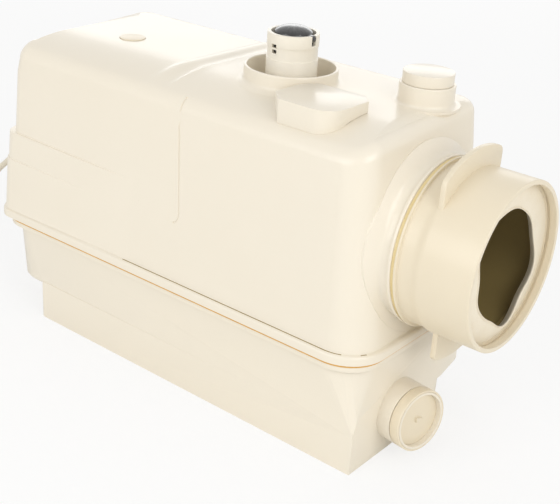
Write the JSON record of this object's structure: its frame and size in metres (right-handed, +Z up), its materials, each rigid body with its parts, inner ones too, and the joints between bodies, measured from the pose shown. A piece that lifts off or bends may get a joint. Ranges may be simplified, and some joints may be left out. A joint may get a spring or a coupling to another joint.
{
  "type": "sewage lifting unit",
  "caption": "Sewage lifting unit: ivory tank and cover with a rotating toilet collar, plugged side inlet, capped top inlet, valved discharge tube and a cutter pump inside.",
  "frame": {"origin": "on the underside of the tank's base skirt, below the middle of the cover's lip", "axes": "+X along the unit towards the toilet collar, +Y towards the wall behind it, +Z up"},
  "size_m": [0.6552, 0.2384, 0.2736],
  "materials": {
    "shell": "smooth ivory moulding",
    "tube": "smooth ivory moulding",
    "fitting": "slightly yellower ivory moulding",
    "lip": "soft ivory rubber",
    "seal": "orange-brown seal",
    "valve": "glossy black",
    "steel": "brushed",
    "casting": "die cast",
    "winding": "laminations and lacquered copper",
    "filter": "carbon foam",
    "dark_rubber": "matt",
    "grey_plastic": "moulded",
    "black_plastic": "moulded",
    "board": "lacquered board",
    "gland": "moulded",
    "cord": "smooth cream sheath"
  },
  "bodies": {
    "unit": {"tank": "shell", "cover": "shell", "cover_gasket": "seal", "cover_screws": "steel", "collar_seal": "seal", "stub_ring": "fitting", "discharge_tube": "tube", "tube_seal": "seal", "valve_body": "valve", "flap_pin": "steel", "carbon_filter": "filter", "pump_deck": "grey_plastic", "deck_screws": "steel", "motor_screws": "steel", "motor_housing": "steel", "motor_cap": "casting", "motor_stator": "winding", "upper_bearing": "steel", "lower_bearing": "steel", "seal_housing": "casting", "shaft_seal": "dark_rubber", "pump_volute": "grey_plastic", "cutter_ring": "steel", "discharge_hose": "dark_rubber", "hose_clamps": "steel", "pressure_tube": "grey_plastic", "level_switch": "black_plastic", "control_box": "grey_plastic", "control_lid": "grey_plastic", "control_board": "board", "capacitor": "steel", "cable_gland": "gland", "mains_cord": "cord", "cord_coil": "cord", "coil_tie": "dark_rubber", "mains_plug": "gland", "plug_pins": "steel"},
    "rotor": {"motor_shaft": "steel", "rotor_core": "steel", "impeller": "grey_plastic", "cutter": "steel"},
    "flap": {"valve_flap": "valve"},
    "collar": {"inlet_collar": "fitting", "lip_seal": "lip"},
    "cap": {"top_cap": "shell"},
    "side_plug": {"stub_plug": "fitting"},
    "lid": {"filter_lid": "shell"},
    "service": {"service_plug": "fitting"},
    "plunger": {"switch_plunger": "seal"}
  },
  "joints": [
    {"name": "rotor_spin", "type": "hinge", "parent": "unit", "child": "rotor", "pos_m": [-0.101, -0.007, 0.1], "axis": [0, 0, 1], "continuous": true},
    {"name": "flap_swing", "type": "hinge", "parent": "unit", "child": "flap", "pos_m": [0.068, 0, 0.2666], "axis": [0, 1, 0], "range_deg": [0, 70]},
    {"name": "collar_twist", "type": "hinge", "parent": "unit", "child": "collar", "pos_m": [0.2, 0, 0.1535], "axis": [1, 0, 0], "range_deg": [0, 25]},
    {"name": "top_cap_pull", "type": "slide", "parent": "unit", "child": "cap", "axis": [0, 0, 1], "range_m": [0, 0.03]},
    {"name": "side_plug_pull", "type": "slide", "parent": "unit", "child": "side_plug", "axis": [0.9758, -0.2074, 0.0698], "range_m": [0, 0.03]},
    {"name": "filter_lid_lift", "type": "slide", "parent": "unit", "child": "lid", "axis": [0, 0, 1], "range_m": [0, 0.03]},
    {"name": "service_plug_pull", "type": "slide", "parent": "unit", "child": "service", "axis": [0, 0, 1], "range_m": [0, 0.012]},
    {"name": "switch_press", "type": "slide", "parent": "unit", "child": "plunger", "axis": [0, 0, 1], "range_m": [0, 0.0015], "stiffness_N_per_m": 200}
  ]
}
